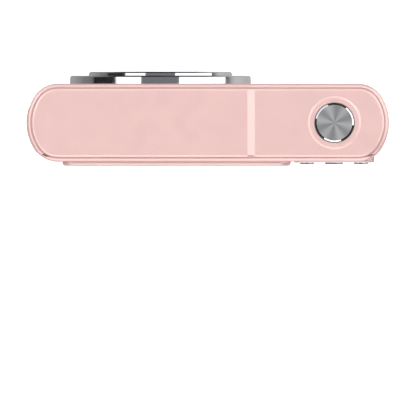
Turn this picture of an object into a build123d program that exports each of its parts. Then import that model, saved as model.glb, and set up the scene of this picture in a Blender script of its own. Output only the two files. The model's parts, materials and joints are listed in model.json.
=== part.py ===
from build123d import *
import os
from math import atan2, cos, degrees, radians, sin, sqrt

# A compact digital camera with a retracting zoom lens, in millimetres. It stands on its base:
# +Z is up, the lens looks along -Y and the screen faces +Y, so +X is at the photographer's left.
# The origin is the middle of the tripod socket's mouth, in the base.

# Body outline, seen from above: flat front and back, and ends of three tangent arcs each.
WIDTH = 106.0
DEPTH = 22.8
HEIGHT = 62.0
END_R = 14.4
CORNER_R = 7.9
END_X = WIDTH / 2 - END_R
CORNER_Y = DEPTH / 2 - CORNER_R
CORNER_X = END_X + sqrt((END_R - CORNER_R) ** 2 - CORNER_Y**2)
JOIN_ANGLE = degrees(atan2(CORNER_Y, CORNER_X - END_X))

# Casing.
WALL = 1.15
FIT_GAP = 0.05
FRONT_Y = -DEPTH / 2
REAR_Y = DEPTH / 2
FRONT_WALL_Y = FRONT_Y + WALL
REAR_WALL_Y = REAR_Y - WALL
BOTTOM_T = 1.5
BOTTOM_RIM = (0.9, 1.2)
EDGE_FILLET = 0.5
LIP_FILLET = 1.0
PARTING_Y = 10.0
LAP = 0.8

# Top cover: a raised deck over the lens and a lower deck round the shutter button.
LIP_Z = 60.45
LOW_DECK_Z = 61.1
DECK_FILLET = 0.85
STEP_X = -11.6
STEP_RUN = 2.05
STEP_R = 1.0
TOP_GAP = 0.05
SKIRT_T = 1.0
SKIRT_Z = 57.5
LOW_ROOF_Z = 59.7
HIGH_ROOF_Z = 60.6
HIGH_ROOF_X = -10.6

# Shutter button and the low ring round it. Each bevel is how far in it cuts, and how deep.
SHUTTER_X = -37.05
BUTTON_R = 5.65
BUTTON_Z = (59.8, 62.0)
BUTTON_BEVEL = (0.42, 0.385)
BUTTON_GAP = 0.28
SHUTTER_RING_R = 7.8
SHUTTER_RING_TOP_R = 7.25
SHUTTER_RING_RISE = 0.16
PLUNGER_NECK_R = 5.0
PLUNGER_NECK_Z = 60.2
PLUNGER_FLANGE_R = 6.5
PLUNGER_FLANGE_Z = (58.7, 59.5)
PLUNGER_STEM_R = 1.6
PLUNGER_STEM_Z = 58.0
SHUTTER_BOARD_Z = (55.2, 56.0)
SHUTTER_BOARD_X = (-45.0, -29.4)
SHUTTER_BOARD_Y = (-6.0, 5.4)
SWITCH_W = 4.2
SWITCH_Z = (56.7, 57.0)
SPRING_R = 4.0
SPRING_WIRE_R = 0.2
SPRING_TURNS = 3

# Lens, on an axis along Y. Two barrels slide out, and two blades cover the front element.
LENS_X = 13.9
LENS_Z = 31.0
BASE_RING_R = 26.5
BASE_RING_Y = -13.8
FRONT_RING_R = 20.95
FRONT_RING_Y = -14.95
RING_BEVEL = (0.5, 0.4)
RING_SEAT_R = 20.6
RING_SEAT_Y = -12.9
LENS_HOLE_R = 20.3
TUBE_R = (17.6, 19.1)
TUBE_Y = (-12.85, -2.65)
TUBE_BASE_T = 0.95
OUTER_BARREL_R = (15.2, 17.3)
OUTER_BARREL_Y = (-14.4, -4.0)
BARREL_CHAMFER = 0.3
BARREL_GAP = 0.2
RING_BORE_CHAMFER = 0.4
INNER_BARREL_R = (13.6, 14.9)
INNER_BARREL_Y = (-14.1, -4.6)
BLADE_HOUSING_R = 13.9
APERTURE_R = 6.0
APERTURE_BEVEL = 0.8
CELL_Y = (-12.3, -9.3)
REAR_CELL_Y = (-8.4, -6.8)
ELEMENT_R = 6.75
REAR_ELEMENT_R = 5.2
# Where each element's front crown, front rim, rear rim and rear crown are.
FRONT_ELEMENT_Y = (-12.1, -11.2, -10.0, -9.4)
REAR_ELEMENT_Y = (-8.6, -8.2, -7.0, -6.6)
BLADE_R = 6.5
BLADE_Y = (-13.0, -12.6)
BLADE_GAP = 0.05
BLADE_PIVOT = (10.3, 1.6)
BLADE_EYE_R = 1.3
BLADE_PIN_R = 0.5
SENSOR_BOARD_Y = (-2.6, -1.8)
SENSOR_BOARD_X = (1.0, 45.8)
SENSOR_BOARD_Z = (17.0, 45.0)
SENSOR_W = 11.0
SENSOR_H = 9.0
SENSOR_GAP = 0.5
SENSOR_Y = (-3.7, -2.6)
FILTER_Y = (-4.2, -3.7)
FILTER_W = 9.5
FILTER_H = 7.5

# Flash and microphone, behind the front wall.
FLASH_X = -27.0
FLASH_Z = 49.8
FLASH_W = 9.4
FLASH_H = 6.4
FLASH_CORNER_R = 1.55
FLASH_REAR_Y = -9.9
FLASH_TUBE_R = 0.9
FLASH_TUBE_Y = -7.6
REFLECTOR_Y = (-9.9, -5.3)
REFLECTOR_MARGIN = 0.2
REFLECTOR_MOUTH_H = 5.0
REFLECTOR_BOWL_Y = -8.0
REFLECTOR_BOWL_R = 2.2
MIC_X = -38.0
MIC_HOLE_R = 0.5
MIC_R = 2.0
MIC_REAR_Y = -8.7
CAPACITOR_R = 4.0
CAPACITOR_X = (-43.0, -14.0)
CAPACITOR_Y = -6.0
CAPACITOR_Z = 12.5

# Rear screen.
SCREEN_X = 9.2
SCREEN_Z = 31.0
BEZEL_W = 66.8
BEZEL_H = 52.0
BEZEL_R = 3.4
BEZEL_Y = 12.63
BEZEL_FILLET = 0.9
WINDOW_W = 60.9
WINDOW_H = 46.4
WINDOW_R = 1.6
WINDOW_Y = (11.6, 12.5)
LCD_W = 60.0
LCD_H = 42.7
LCD_Y = (10.1, 11.5)
BACKLIGHT_Y = (8.9, 10.1)
LCD_GAP = 0.2

# Keys, in a panel let into the rear cover. Each key's place is X, Z and radius.
KEY_PANEL_X = (-48.7, -25.2)
KEY_PANEL_Z = (5.0, 57.0)
KEY_PANEL_R = 2.2
KEY_PANEL_Y = 11.65
KEY_PANEL_SEAT_Y = 10.65
KEY_PANEL_EDGE_Y = 9.6
KEY_PANEL_CHAMFER = 0.2
KEY_X = -36.9
KEY_PITCH = 7.9
KEY_R = 2.1
OK_R = 2.7
PAD_Z = 24.6
LOW_KEY_Z = 9.6
KEYS = {
    "power_key": (KEY_X + KEY_PITCH, 50.6, KEY_R),
    "mode_key": (KEY_X + KEY_PITCH, 41.4, KEY_R),
    "up_key": (KEY_X, PAD_Z + KEY_PITCH, KEY_R),
    "down_key": (KEY_X, PAD_Z - KEY_PITCH, KEY_R),
    "left_key": (KEY_X + KEY_PITCH, PAD_Z, KEY_R),
    "right_key": (KEY_X - KEY_PITCH, PAD_Z, KEY_R),
    "ok_key": (KEY_X, PAD_Z, OK_R),
    "menu_key": (KEY_X + KEY_PITCH, LOW_KEY_Z, KEY_R),
    "delete_key": (KEY_X - KEY_PITCH, LOW_KEY_Z, KEY_R),
}
KEY_Y = 12.15
KEY_BEVEL = (0.3, 0.22)
KEY_GAP = 0.1
KEY_FLANGE = 0.55
KEY_FLANGE_Y = (8.65, 9.25)
KEY_STEM_R = 1.0
KEY_STEM_Y = 8.4
COLLAR_T = 0.7
COLLAR_Y = 9.3
ROCKER_X = KEY_X - KEY_PITCH
ROCKER_Z = 45.9
ROCKER_W = 4.2
ROCKER_H = 13.6
ROCKER_GAP = 0.35
ROCKER_Y = 8.75
ROCKER_AXLE_Y = 8.6
ROCKER_AXLE_R = 0.45
ROCKER_AXLE_X = (-47.2, -41.7)
STATUS_Z = 50.6
STATUS_R = 0.8
KEY_BOARD_X = (-47.0, -25.6)
KEY_BOARD_Y = (6.9, 7.7)
DOME_R = 1.6
DOME_T = 0.3

# Battery door, hinged on a pin along Z at the rear corner of the +X end.
DOOR_Z = (12.0, 50.0)
DOOR_EDGE_Y = -4.5
DOOR_PROUD = 0.15
DOOR_T = 1.0
DOOR_GAP = 0.15
DOOR_RIB = 0.9
DOOR_RIB_W = 7.0
DOOR_RIB_T = 0.8
DOOR_RIB_Z = (17.0, 27.0, 37.0)
HINGE_ANGLE = 39.4
HINGE_DEPTH = 0.75
KNUCKLE_R = 0.9
PIN_R = 0.4
PIN_FIT = 0.02
PIN_SEAT = 2.0
HINGE_BOSS_R = 1.25
HINGE_BOSS_END = 0.4

# Battery, memory card, data port and frame.
FRAME_X = (-46.0, 47.5)
FRAME_Y = (-1.8, -1.1)
FRAME_Z = (4.0, 56.0)
BATTERY_X = (6.2, 48.4)
BATTERY_Y = (-0.9, 4.6)
BATTERY_Z = (14.0, 48.0)
BATTERY_FILLET = 1.0
CONTACT_Y = 1.85
CONTACT_Z = (24.0, 28.0, 32.0)
CONTACT_W = 1.2
CONTACT_BLOCK_T = 1.0
CONTACT_BLOCK_W = 4.0
CONTACT_BLOCK_Z = (22.0, 36.0)
BAY_X = (2.8, 4.0)
BAY_Y = 5.2
BAY_Z = (12.6, 49.4)
BAY_T = 1.2
PORT_WALL_X = (47.5, 48.5)
PORT_WALL_Y = (-6.6, 6.4)
BAY_GAP = 0.15
SOCKET_NOTCH_X = (-4.4, 4.4)
PORT_NOTCH_X = 36.5
PORT_NOTCH_Z = 9.2
NOTCH_GAP = 0.5
FOOT_X = (-9.0, 9.0)
FOOT_Y = (-6.0, 5.0)
FOOT_T = 1.0
SHELF_T = 1.0
CARD_X = (33.6, 48.6)
CARD_Y = (-3.75, -3.05)
CARD_Z = (25.5, 36.5)
CARD_CHAMFER = 0.6
SOCKET_X = (33.3, 46.9)
SOCKET_Y = (-4.4, -2.6)
SOCKET_WALL = 1.0
CARD_GAP = 0.1
LATCH_Z = (40.5, 43.5)
LATCH_NECK_Y = (-4.2, -2.4)
LATCH_HOOK_Y = 0.2
LATCH_FOOT_X = (46.3, 47.4)
LATCH_FOOT_Y = (-4.5, -2.0)
LATCH_FOOT_Z = (39.5, 44.5)
LATCH_X = (48.6, 49.8)
LATCH_TRAVEL = 1.3
LATCH_GAP = 0.1
USB_X = (44.4, 51.9)
USB_Z = 6.4
USB_W = 9.0
USB_H = 3.2
USB_WALL = 0.3
USB_GAP = 0.15
USB_BACK_T = 1.0
USB_TONGUE = (6.7, 0.7)
USB_TONGUE_SINK = 0.7
USB_BOARD_W = 12.0
USB_BOARD_X = (38.0, 50.0)
BOARD_T = 0.8
MAIN_BOARD_X = (-46.0, 38.0)
MAIN_BOARD_Y = (5.9, 6.7)
MAIN_BOARD_Z = (5.0, 54.0)
POSTS = [(-42.0, 12.0), (-42.0, 49.0), (-3.0, 12.0), (-3.0, 48.0)]
POST_R = 1.8
CHIPS = [(-8.0, 30.0, 12.0, 12.0, 1.4), (10.0, 33.0, 8.0, 11.0, 1.0), (-14.0, 14.0, 6.0, 6.0, 1.0),
         (24.0, 22.0, 5.0, 4.0, 1.2), (24.0, 30.0, 4.0, 4.0, 1.8), (30.0, 42.0, 7.0, 4.0, 1.0)]

# Screws. The casing's screws are given by end and height.
CASE_SCREWS = [(-1, 9.0), (-1, 38.0), (1, 54.0)]
CASE_SCREW_SINK = 0.15
CASE_SCREW = (4.6, 1.5, 0.8)
BOARD_SCREW = (4.5, 1.2, 0.65)
LUG_Y = (-2.4, 1.4)
LUG_X = 51.5
LUG_H = 4.0
LUG_OVERLAP = 0.2

# Wrist strap bar and speaker, in the -X end.
STRAP_Z = 50.0
STRAP_X = -51.0
STRAP_POCKET = (3.4, 6.6)
STRAP_POCKET_X = -48.8
STRAP_BLOCK = (5.8, 9.0)
STRAP_BLOCK_X = (-52.2, -47.6)
STRAP_BAR_R = 0.6
STRAP_BAR_Y = (-2.7, 2.7)
SPEAKER_Z = 24.0
SPEAKER_R = 5.0
SPEAKER_X = (-50.6, -47.6)
SPEAKER_HOLE_R = 0.45
SPEAKER_RING_HOLES = 6
SPEAKER_DISH_R = 3.8
SPEAKER_DISH_DEPTH = 0.6
SPEAKER_HOLE_PITCH = 2.1

# Tripod socket: a quarter-inch threaded insert, bored at the thread's minor radius.
THREAD_R = 2.55
THREAD_DEPTH = 6.0
INSERT_R = 3.65
INSERT_Z = 7.2
COLLAR_R = 5.5
COLLAR_Z = 2.4
SOCKET_FLANGE_R = 5.2
SOCKET_FLANGE_T = 1.0
COLLAR_CHAMFER = 0.2


def block(x, y, z, mode=Mode.ADD):
    """A box in the part in hand, from the lower to the higher value of x, y and z."""
    with Locations(tuple((low + high) / 2 for low, high in (x, y, z))):
        Box(*(high - low for low, high in (x, y, z)), mode=mode)


def rod(start, end, radius, mode=Mode.ADD):
    """A cylinder in the part in hand, from start to end."""
    along = Vector(*end) - Vector(*start)
    with Locations(Plane(origin=start, z_dir=along)):
        Cylinder(radius, along.length, align=(Align.CENTER, Align.CENTER, Align.MIN), mode=mode)


def lens_rod(radius, y, mode=Mode.ADD):
    """A cylinder on the lens axis, in the part in hand."""
    rod((LENS_X, y[0], LENS_Z), (LENS_X, y[1], LENS_Z), radius, mode=mode)


def bevel(face, size):
    """Cuts a bevel all round a face of the part in hand; size is how far in, and how deep."""
    chamfer(face.edges(), size[0], size[1], reference=face)


def facing_front(y):
    """The plane at y whose normal is -Y: local x is X, and local y is Z."""
    return Plane.XZ.offset(-y)


def centred(middle, size):
    """The (low, high) pair of a size about its middle."""
    return (middle - size / 2, middle + size / 2)


def length(span):
    """The length of a (low, high) pair."""
    return span[1] - span[0]


def outline(inset=0.0):
    """The body's outline, moved inwards by inset, as a sketch."""
    half = DEPTH / 2 - inset
    with BuildSketch() as shape:
        with BuildLine():
            for side, turn in ((1, 0), (-1, 180)):
                Line((-CORNER_X, side * half), (CORNER_X, side * half))
                corner = (side * CORNER_X, side * CORNER_Y)
                far_corner = (side * CORNER_X, -side * CORNER_Y)
                CenterArc(corner, CORNER_R - inset, turn + JOIN_ANGLE, 90 - JOIN_ANGLE)
                CenterArc((side * END_X, 0), END_R - inset, turn - JOIN_ANGLE, 2 * JOIN_ANGLE)
                CenterArc(far_corner, CORNER_R - inset, turn - 90, 90 - JOIN_ANGLE)
        make_face()
    return shape.sketch


def turned(profile):
    """A solid turned on the lens axis from a closed profile of (radius, y) points."""
    with BuildPart() as shape:
        with BuildSketch(Plane(origin=(LENS_X, 0, LENS_Z))):
            with BuildLine():
                Polyline(*profile, close=True)
            make_face()
        revolve(axis=Axis((LENS_X, 0, LENS_Z), (0, 1, 0)))
    return shape.part


def lens_element(radius, front_crown_y, front_rim_y, rear_rim_y, rear_crown_y):
    """A glass element on the lens axis, with two spherical faces."""
    with BuildPart() as shape:
        with BuildSketch(Plane(origin=(LENS_X, 0, LENS_Z))):
            with BuildLine():
                TangentArc((0, front_crown_y), (radius, front_rim_y), tangent=(1, 0))
                Line((radius, front_rim_y), (radius, rear_rim_y))
                TangentArc((0, rear_crown_y), (radius, rear_rim_y), tangent=(1, 0))
                Line((0, rear_crown_y), (0, front_crown_y))
            make_face()
        revolve(axis=Axis((LENS_X, 0, LENS_Z), (0, 1, 0)))
    return shape.part


def screw(head, along, size, driven=True):
    """A countersunk screw from the middle of its head's face; size is length, head and shaft radius."""
    shaft_length, head_r, shaft_r = size
    base = (Align.CENTER, Align.CENTER, Align.MIN)
    with BuildPart(Plane(origin=head, z_dir=along)) as shape:
        Cone(head_r, shaft_r, head_r - shaft_r, align=base)
        Cylinder(shaft_r, shaft_length, align=base)
        if driven:
            Box(head_r, head_r / 4, head_r - shaft_r, mode=Mode.SUBTRACT)
            Box(head_r / 4, head_r, head_r - shaft_r, mode=Mode.SUBTRACT)
    return shape.part


def case_screw_head(side, z):
    """The middle of a casing screw's head, and the way that its shaft runs."""
    return (side * (WIDTH / 2 - CASE_SCREW_SINK), 0, z), (-side, 0, 0)


def hinge_point(outwards=0.0, rearwards=0.0):
    """A point seen from the hinge pin: outwards square to the casing, and rearwards along it."""
    angle = radians(HINGE_ANGLE)
    reach = CORNER_R - HINGE_DEPTH + outwards
    return (
        CORNER_X + reach * cos(angle) - rearwards * sin(angle),
        CORNER_Y + reach * sin(angle) + rearwards * cos(angle),
    )


def door_plan(front_y, rearwards):
    """The ground that the battery door covers, from front_y to a line rearwards of its pin."""
    inwards = HINGE_BOSS_R + DOOR_GAP
    with BuildSketch() as shape:
        with BuildLine():
            Polyline(
                (CORNER_X, front_y),
                (WIDTH / 2 + KNUCKLE_R, front_y),
                hinge_point(END_R, rearwards),
                hinge_point(-inwards, rearwards),
                close=True,
            )
        make_face()
    return shape.sketch


def key_holes(gap):
    """The holes that the keys, the zoom rocker and the status light need, as a sketch."""
    with BuildSketch() as shape:
        for x, z, radius in KEYS.values():
            with Locations((x, z)):
                Circle(radius + gap)
        with Locations((ROCKER_X, ROCKER_Z)):
            SlotOverall(ROCKER_H + 2 * ROCKER_GAP, ROCKER_W + 2 * ROCKER_GAP, rotation=90)
        with Locations((KEY_X, STATUS_Z)):
            Circle(STATUS_R + gap)
    return shape.sketch


HINGE = hinge_point()

# Casing --------------------------------------------------------------------------------------

with BuildPart() as casing:
    with BuildSketch(Plane.XY.offset(BOTTOM_T)):
        add(outline())
        add(outline(WALL), mode=Mode.SUBTRACT)
    extrude(amount=LIP_Z - BOTTOM_T)
    fillet(casing.faces().sort_by(Axis.Z)[-1].outer_wire().edges(), LIP_FILLET)

with BuildPart() as front_cover:
    add(casing.part)
    split(bisect_by=facing_front(PARTING_Y), keep=Keep.TOP)
    # Rebate for the rear cover's tongue.
    with BuildSketch(Plane.XY.offset(BOTTOM_T)):
        add(outline(WALL / 2))
        with Locations((0, PARTING_Y - LAP + DEPTH / 2)):
            Rectangle(WIDTH, DEPTH, mode=Mode.INTERSECT)
    extrude(amount=HEIGHT, mode=Mode.SUBTRACT)
    # Hinge bosses above and below the door, and the door's opening.
    with BuildSketch(Plane.XY.offset(DOOR_Z[0] - DOOR_GAP - PIN_SEAT - HINGE_BOSS_END)):
        with Locations(HINGE):
            Circle(HINGE_BOSS_R)
        add(outline(), mode=Mode.INTERSECT)
    extrude(amount=length(DOOR_Z) + 2 * (DOOR_GAP + PIN_SEAT + HINGE_BOSS_END))
    with BuildSketch(Plane.XY.offset(DOOR_Z[0] - DOOR_GAP)):
        add(door_plan(DOOR_EDGE_Y - DOOR_GAP, KNUCKLE_R + DOOR_GAP))
    extrude(amount=length(DOOR_Z) + 2 * DOOR_GAP, mode=Mode.SUBTRACT)
    rod(
        (*HINGE, DOOR_Z[0] - DOOR_GAP - PIN_SEAT),
        (*HINGE, DOOR_Z[1] + DOOR_GAP + PIN_SEAT),
        PIN_R,
        mode=Mode.SUBTRACT,
    )
    # Pocket for the wrist strap, with a hole across it for its bar.
    block(STRAP_BLOCK_X, centred(0, STRAP_BLOCK[0]), centred(STRAP_Z, STRAP_BLOCK[1]))
    block(
        (-WIDTH / 2, STRAP_POCKET_X),
        centred(0, STRAP_POCKET[0]),
        centred(STRAP_Z, STRAP_POCKET[1]),
        mode=Mode.SUBTRACT,
    )
    rod(
        (STRAP_X, STRAP_BAR_Y[0], STRAP_Z),
        (STRAP_X, STRAP_BAR_Y[1], STRAP_Z),
        STRAP_BAR_R,
        mode=Mode.SUBTRACT,
    )
    # Openings in the front: lens, flash and microphone.
    lens_rod(LENS_HOLE_R, (FRONT_Y, FRONT_WALL_Y), mode=Mode.SUBTRACT)
    with BuildSketch(facing_front(FRONT_WALL_Y)):
        with Locations((FLASH_X, FLASH_Z)):
            RectangleRounded(
                FLASH_W + 2 * FIT_GAP, FLASH_H + 2 * FIT_GAP, FLASH_CORNER_R + FIT_GAP
            )
        with Locations((MIC_X, FLASH_Z)):
            Circle(MIC_HOLE_R)
    extrude(amount=WALL, mode=Mode.SUBTRACT)
    # Openings in the ends: data port, speaker and screws.
    with BuildSketch(Plane.YZ.offset(USB_X[0])):
        with Locations((0, USB_Z)):
            SlotOverall(USB_W + 2 * USB_GAP, USB_H + 2 * USB_GAP)
    extrude(amount=length(USB_X) + WALL, mode=Mode.SUBTRACT)
    with BuildSketch(Plane.YZ.offset(-WIDTH / 2)):
        with Locations((0, SPEAKER_Z)):
            Circle(SPEAKER_HOLE_R)
            with PolarLocations(SPEAKER_HOLE_PITCH, SPEAKER_RING_HOLES):
                Circle(SPEAKER_HOLE_R)
    extrude(amount=2 * WALL, mode=Mode.SUBTRACT)
    for side, z in CASE_SCREWS:
        head, inwards = case_screw_head(side, z)
        add(screw(head, inwards, CASE_SCREW, driven=False), mode=Mode.SUBTRACT)
        rod(head, (side * WIDTH / 2, 0, z), CASE_SCREW[1], mode=Mode.SUBTRACT)

with BuildPart() as rear_cover:
    add(casing.part)
    split(bisect_by=facing_front(PARTING_Y), keep=Keep.BOTTOM)
    # Tongue inside the front cover.
    with BuildSketch(Plane.XY.offset(BOTTOM_T)):
        add(outline(WALL / 2 + FIT_GAP))
        add(outline(WALL), mode=Mode.SUBTRACT)
        with Locations((0, PARTING_Y - LAP + FIT_GAP + DEPTH / 2)):
            Rectangle(WIDTH, DEPTH, mode=Mode.INTERSECT)
    extrude(amount=LIP_Z - BOTTOM_T - LIP_FILLET)
    # Guide collars round the keys, then the holes through wall and collars.
    with BuildSketch(facing_front(REAR_WALL_Y)):
        for x, z, radius in KEYS.values():
            with Locations((x, z)):
                Circle(radius + KEY_GAP + COLLAR_T)
    extrude(amount=REAR_WALL_Y - COLLAR_Y)
    with BuildSketch(Plane.XY):
        Rectangle(2 * WIDTH, 2 * DEPTH)
        add(outline(WALL / 2 + FIT_GAP), mode=Mode.SUBTRACT)
        with Locations((0, PARTING_Y - DEPTH)):
            Rectangle(2 * WIDTH, 2 * DEPTH, mode=Mode.INTERSECT)
    extrude(amount=HEIGHT, mode=Mode.SUBTRACT)
    with BuildSketch(facing_front(REAR_Y)):
        add(key_holes(KEY_GAP + FIT_GAP))
        with Locations((SCREEN_X, SCREEN_Z)):
            Rectangle(LCD_W + 2 * LCD_GAP, LCD_H + 2 * LCD_GAP)
    extrude(amount=REAR_Y - KEY_FLANGE_Y[0], mode=Mode.SUBTRACT)
    # Seat for the key panel.
    with BuildSketch(facing_front(REAR_Y)):
        with Locations((sum(KEY_PANEL_X) / 2, sum(KEY_PANEL_Z) / 2)):
            RectangleRounded(length(KEY_PANEL_X), length(KEY_PANEL_Z), KEY_PANEL_R)
    extrude(amount=REAR_Y - KEY_PANEL_SEAT_Y, mode=Mode.SUBTRACT)

with BuildPart() as top_cover:
    with BuildSketch(Plane.XY.offset(SKIRT_Z)):
        add(outline(WALL + TOP_GAP))
    extrude(amount=HEIGHT - SKIRT_Z)
    # The two decks and the slope between them.
    with BuildSketch(facing_front(REAR_Y)) as deck:
        with BuildLine():
            Polyline(
                (-WIDTH, 0),
                (-WIDTH, LOW_DECK_Z),
                (STEP_X - STEP_RUN, LOW_DECK_Z),
                (STEP_X, HEIGHT),
                (WIDTH, HEIGHT),
                (WIDTH, 0),
                close=True,
            )
        make_face()
        bends = deck.vertices().sort_by(Axis.X)[2:4]
        fillet(bends, STEP_R)
    extrude(amount=DEPTH, mode=Mode.INTERSECT)
    deck_edges = [edge for edge in top_cover.edges() if edge.bounding_box().min.Z > SKIRT_Z]
    # The rim is what doesn't run straight across the deck, from front to back.
    fillet([edge for edge in deck_edges if abs(edge.tangent_at(0.5).Y) < 0.999], DECK_FILLET)
    # Hollow underneath.
    with BuildSketch(Plane.XY.offset(SKIRT_Z)):
        add(outline(WALL + TOP_GAP + SKIRT_T))
    extrude(amount=LOW_ROOF_Z - SKIRT_Z, mode=Mode.SUBTRACT)
    with BuildSketch(Plane.XY.offset(LOW_ROOF_Z)):
        add(outline(WALL + TOP_GAP + SKIRT_T))
        with Locations((HIGH_ROOF_X + WIDTH / 2, 0)):
            Rectangle(WIDTH, DEPTH, mode=Mode.INTERSECT)
    extrude(amount=HIGH_ROOF_Z - LOW_ROOF_Z, mode=Mode.SUBTRACT)
    # Low raised ring and hole for the shutter button.
    with Locations((SHUTTER_X, 0, LOW_DECK_Z + SHUTTER_RING_RISE / 2)):
        Cone(SHUTTER_RING_R, SHUTTER_RING_TOP_R, SHUTTER_RING_RISE)
    rod((SHUTTER_X, 0, SKIRT_Z), (SHUTTER_X, 0, HEIGHT), BUTTON_R + BUTTON_GAP, mode=Mode.SUBTRACT)

with BuildPart() as bottom_cover:
    with BuildSketch(Plane.XY):
        add(outline())
    extrude(amount=BOTTOM_T)
    fillet(bottom_cover.faces().sort_by(Axis.Z)[0].outer_wire().edges(), EDGE_FILLET)
    with BuildSketch(Plane.XY.offset(BOTTOM_T)):
        add(outline(WALL + FIT_GAP))
        add(outline(WALL + FIT_GAP + BOTTOM_RIM[0]), mode=Mode.SUBTRACT)
    extrude(amount=BOTTOM_RIM[1])
    rod((0, 0, 0), (0, 0, BOTTOM_T), COLLAR_R, mode=Mode.SUBTRACT)

with BuildPart() as tripod_collar:
    rod((0, 0, 0), (0, 0, COLLAR_Z), COLLAR_R - FIT_GAP)
    chamfer(tripod_collar.edges().sort_by(Axis.Z)[0], COLLAR_CHAMFER)
    rod((0, 0, 0), (0, 0, COLLAR_Z), INSERT_R, mode=Mode.SUBTRACT)

with BuildPart() as tripod_socket:
    rod((0, 0, 0), (0, 0, INSERT_Z), INSERT_R)
    rod((0, 0, COLLAR_Z), (0, 0, COLLAR_Z + SOCKET_FLANGE_T), SOCKET_FLANGE_R)
    rod((0, 0, 0), (0, 0, THREAD_DEPTH), THREAD_R, mode=Mode.SUBTRACT)

# Rear screen ---------------------------------------------------------------------------------

with BuildPart() as screen_bezel:
    with BuildSketch(facing_front(REAR_Y)):
        with Locations((SCREEN_X, SCREEN_Z)):
            RectangleRounded(BEZEL_W, BEZEL_H, BEZEL_R)
    extrude(amount=REAR_Y - BEZEL_Y)
    fillet(screen_bezel.faces().sort_by(Axis.Y)[-1].edges(), BEZEL_FILLET)
    with BuildSketch(facing_front(WINDOW_Y[0])):
        with Locations((SCREEN_X, SCREEN_Z)):
            RectangleRounded(WINDOW_W + 2 * FIT_GAP, WINDOW_H + 2 * FIT_GAP, WINDOW_R + FIT_GAP)
    extrude(amount=WINDOW_Y[0] - BEZEL_Y, mode=Mode.SUBTRACT)
    block(
        centred(SCREEN_X, LCD_W + 2 * LCD_GAP),
        (REAR_Y, BEZEL_Y),
        centred(SCREEN_Z, LCD_H + 2 * LCD_GAP),
        mode=Mode.SUBTRACT,
    )

with BuildPart() as screen_window:
    with BuildSketch(facing_front(WINDOW_Y[0])):
        with Locations((SCREEN_X, SCREEN_Z)):
            RectangleRounded(WINDOW_W, WINDOW_H, WINDOW_R)
    extrude(amount=-length(WINDOW_Y))

with BuildPart() as lcd_panel:
    block(centred(SCREEN_X, LCD_W), LCD_Y, centred(SCREEN_Z, LCD_H))

with BuildPart() as lcd_backlight:
    block(centred(SCREEN_X, LCD_W), BACKLIGHT_Y, centred(SCREEN_Z, LCD_H))

# Keys ----------------------------------------------------------------------------------------

with BuildPart() as key_panel:
    with BuildSketch(facing_front(KEY_PANEL_EDGE_Y)):
        with Locations((sum(KEY_PANEL_X) / 2, sum(KEY_PANEL_Z) / 2)):
            RectangleRounded(length(KEY_PANEL_X), length(KEY_PANEL_Z), KEY_PANEL_R)
    extrude(amount=KEY_PANEL_EDGE_Y - KEY_PANEL_Y)
    chamfer(key_panel.faces().sort_by(Axis.Y)[-1].edges(), KEY_PANEL_CHAMFER)
    # The body under the panel: its own outline, cut flat at the panel's seat.
    with BuildSketch(Plane.XY):
        add(outline())
        with Locations((0, KEY_PANEL_SEAT_Y - DEPTH)):
            Rectangle(WIDTH, 2 * DEPTH, mode=Mode.INTERSECT)
    extrude(amount=HEIGHT, mode=Mode.SUBTRACT)
    with BuildSketch(facing_front(KEY_PANEL_Y)):
        add(key_holes(KEY_GAP))
    extrude(amount=KEY_PANEL_Y - KEY_PANEL_EDGE_Y, mode=Mode.SUBTRACT)

keys = {}
for key_name, (key_x, key_z, key_r) in KEYS.items():
    with BuildPart() as key:
        rod((key_x, KEY_FLANGE_Y[0], key_z), (key_x, KEY_Y, key_z), key_r)
        bevel(key.faces().sort_by(Axis.Y)[-1], KEY_BEVEL)
        rod(
            (key_x, KEY_FLANGE_Y[0], key_z), (key_x, KEY_FLANGE_Y[1], key_z), key_r + KEY_FLANGE
        )
        rod((key_x, KEY_STEM_Y, key_z), (key_x, KEY_FLANGE_Y[0], key_z), KEY_STEM_R)
    keys[key_name] = key

with BuildPart() as zoom_rocker:
    with BuildSketch(facing_front(ROCKER_Y)):
        with Locations((ROCKER_X, ROCKER_Z)):
            SlotOverall(ROCKER_H, ROCKER_W, rotation=90)
    extrude(amount=ROCKER_Y - KEY_Y)
    bevel(zoom_rocker.faces().sort_by(Axis.Y)[-1], KEY_BEVEL)
    rod(
        (ROCKER_AXLE_X[0], ROCKER_AXLE_Y, ROCKER_Z),
        (ROCKER_AXLE_X[1], ROCKER_AXLE_Y, ROCKER_Z),
        ROCKER_AXLE_R,
    )

with BuildPart() as status_light:
    rod((KEY_X, KEY_BOARD_Y[1], STATUS_Z), (KEY_X, KEY_PANEL_Y, STATUS_Z), STATUS_R)

with BuildPart() as key_board:
    block(KEY_BOARD_X, KEY_BOARD_Y, KEY_PANEL_Z)
    # A snap dome under each key, and one under each end of the rocker.
    dome_places = [(x, z) for x, z, radius in KEYS.values()]
    dome_places += [(ROCKER_X, z) for z in centred(ROCKER_Z, ROCKER_H - 2 * DOME_R)]
    for x, z in dome_places:
        rod((x, KEY_BOARD_Y[1], z), (x, KEY_BOARD_Y[1] + DOME_T, z), DOME_R)

# Shutter button ------------------------------------------------------------------------------

with BuildPart() as shutter_button:
    rod((SHUTTER_X, 0, BUTTON_Z[0]), (SHUTTER_X, 0, BUTTON_Z[1]), BUTTON_R)
    bevel(shutter_button.faces().sort_by(Axis.Z)[-1], BUTTON_BEVEL)
    rod(
        (SHUTTER_X, 0, BUTTON_Z[0]), (SHUTTER_X, 0, PLUNGER_NECK_Z), PLUNGER_NECK_R,
        mode=Mode.SUBTRACT,
    )

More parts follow.
